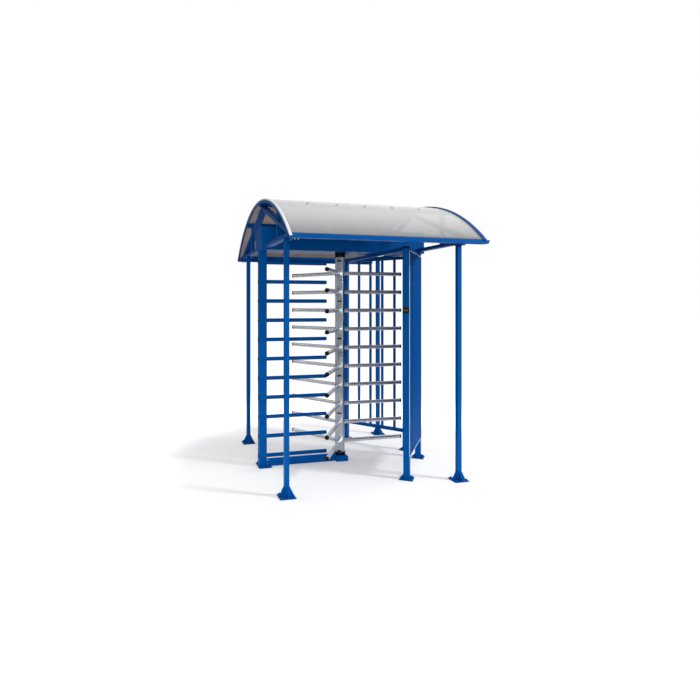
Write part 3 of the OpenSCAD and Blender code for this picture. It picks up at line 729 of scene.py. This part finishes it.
def tie_bolts():
    """Bolts through the ties and the posts' head plates, with their nuts below."""
    from_post = 33.0
    tie_top = box_mm("left_ties")[1][2]
    bm = bmesh.new()
    for post in CANOPY_POSTS:
        x, y = middle(post)
        head = box_mm(post)[1][2]
        for side in (-from_post, from_post):
            bolted(bm, at(x, y + side, tie_top), **TIE_HEAD)
            bolted(bm, at(x, y + side, head - HEAD_PLATE, facing=DOWN), **TIE_NUT)
    finished("tie_bolts", bm, blue, "frame")


def eave_bolts():
    """Nuts under the eave beams where the left ties are bolted down."""
    from_eave = 34.0
    x = middle("left_ties")[0]
    low, high = box_mm("front_beam")[0], box_mm("rear_beam")[1]
    bm = bmesh.new()
    for y in (low[1] + from_eave, high[1] - from_eave):
        for shift in (-14, 14):
            bolted(bm, at(x + shift, y, low[2], facing=DOWN), **EAVE_NUT)
    finished("eave_bolts", bm, zinc, "frame")


def beam_cleat():
    """Cleat on the floor beam's front face, close to the comb's post."""
    front = box_mm("floor_beam")[0][1]
    bm = bmesh.new()
    rounded_block(bm, (16.0, 5.0, 62.0), at(comb_inner + 8.4, front - 2.5, 44.0), 1.5)
    finished("beam_cleat", bm, blue, "frame")


def cleat_screws():
    """Two round heads on the cleat."""
    front = box_mm("floor_beam")[0][1]
    bm = bmesh.new()
    for z in (26.0, 62.0):
        turned(bm, dome(4.6, 3.4), at(comb_inner + 8.4, front - 4.9, z, facing=FRONT), 14)
    finished("cleat_screws", bm, zinc, "frame")


anchor_bolts()
foot_welds()
arm_welds()
bar_welds()
plug_rims()
block_bolts()
collar_screws()
housing_screws()
housing_locks()
panel_rivets()
panel_edging()
panel_corner_bead()
indicator_bezel()
indicator_lamps()
roof_screws()
tie_bolts()
eave_bolts()
beam_cleat()
cleat_screws()


# ---------------------------------------------------------------- floor, light and camera

ROOM_LEVEL, CEILING_LEVEL, BACKDROP_LEVEL = 0.08, 0.78, 0.9  # light that falls on the object
BACKDROP_HEADING = (0.42, 0.91, 0.0)
SWEEP_HEADING = (0.34, 0.94, 0.0)


def white_floor():
    """Pale paper that goes dark far off, with a glow that the camera and shiny faces see.

    The glow is weak round the feet, so that their shadows stay, and plain white further out.
    Distances are in metres from the rotor's axis.
    """
    finish = Finish("white floor", Roughness=0.8, Specular_IOR_Level=0.1)
    away = finish.length(finish.place)
    far_off = finish.eased(away, (2.0, 4.5))
    finish.colour(finish.blend(far_off, (0.88, 0.88, 0.885), (0.06, 0.06, 0.065)))
    rays = finish.node("ShaderNodeLightPath")
    whiter = finish.eased(away, (1.5, 2.6), (0.20, 1.0))
    seen = finish.maths("MULTIPLY", rays.outputs["Is Camera Ray"], whiter)
    behind = finish.eased(finish.towards(finish.unit(finish.place), SWEEP_HEADING), (0.93, 0.99))
    sweep = finish.maths("MULTIPLY", behind, finish.eased(away, (5.0, 9.0)))
    mirrored = finish.maths("MULTIPLY", rays.outputs["Is Glossy Ray"], sweep)
    glow = finish.node("ShaderNodeEmission")
    finish.feed(glow.inputs["Color"], WHITE)
    finish.feed(glow.inputs["Strength"], finish.maths("ADD", seen, mirrored))
    both = finish.node("ShaderNodeAddShader")
    finish.feed(both.inputs[0], finish.shader.outputs[0])
    finish.feed(both.inputs[1], glow.outputs[0])
    finish.feed(finish.tree.nodes["Material Output"].inputs["Surface"], both.outputs[0])
    return finish.material


def studio_floor():
    half_size = 60.0
    bm = bmesh.new()
    bmesh.ops.create_grid(bm, x_segments=1, y_segments=1, size=half_size)
    mesh = bpy.data.meshes.new("studio_floor")
    bm.to_mesh(mesh)
    bm.free()
    mesh.materials.append(white_floor())
    floor = bpy.data.objects.new("studio_floor", mesh)
    collection.objects.link(floor)


def white_world():
    """White where it is seen, soft light from above and from the backdrop, a dim room in front."""
    world = bpy.data.worlds.new("white room")
    bpy.context.scene.world = world
    room = Nodes(world)
    direction = room.node("ShaderNodeTexCoord").outputs["Generated"]
    height = room.along(direction, "Z")
    ceiling = room.eased(height, (0.0, 0.9), (0.0, CEILING_LEVEL))
    behind = room.eased(room.towards(direction, BACKDROP_HEADING), (0.82, 0.96), (0.0, BACKDROP_LEVEL))
    backdrop = room.maths("MULTIPLY", behind, room.eased(height, (0.06, 0.24)))
    lit = room.maths("ADD", room.maths("ADD", ceiling, backdrop), ROOM_LEVEL)
    rays = room.node("ShaderNodeLightPath")
    seen = room.maths("MAXIMUM", rays.outputs["Is Camera Ray"], rays.outputs["Is Transmission Ray"])
    level = room.node("ShaderNodeMix")
    room.feed(level.inputs["Factor"], seen)
    room.feed(level.inputs["A"], lit)
    room.feed(level.inputs["B"], 1.0)
    background = room.tree.nodes["Background"]
    room.feed(background.inputs["Color"], WHITE)
    room.feed(background.inputs["Strength"], level.outputs["Result"])


def soft_lamp(name, place, aim, size, power):
    data = bpy.data.lights.new(name, "AREA")
    data.shape = "SQUARE"
    data.size = size
    data.energy = power
    lamp = bpy.data.objects.new(name, data)
    lamp.location = place
    lamp.rotation_euler = (Vector(aim) - Vector(place)).to_track_quat("-Z", "Y").to_euler()
    collection.objects.link(lamp)


def camera():
    """Level view from a standing height, from the front left."""
    data = bpy.data.cameras.new("camera")
    data.sensor_width = 36.0
    data.lens = 27.335
    data.shift_x = 0.0779
    data.shift_y = -0.0656
    data.clip_end = 200.0
    eye = bpy.data.objects.new("camera", data)
    eye.location = (-1.868, -5.133, 1.590)
    eye.rotation_euler = (math.radians(90.0), 0.0, -0.2655)
    collection.objects.link(eye)
    bpy.context.scene.camera = eye


bpy.context.scene.view_settings.view_transform = "Standard"
camera()
white_world()
studio_floor()
soft_lamp("right key", place=(8.4, -6.3, 5.6), aim=(0.0, 0.0, 0.5), size=1.7, power=800.0)
soft_lamp("front fill", place=(-2.2, -9.0, 1.7), aim=(0.0, 0.0, 1.2), size=3.5, power=330.0)
soft_lamp("back fill", place=(-9.0, 5.0, 3.0), aim=(0.0, 0.0, 1.2), size=3.0, power=120.0)
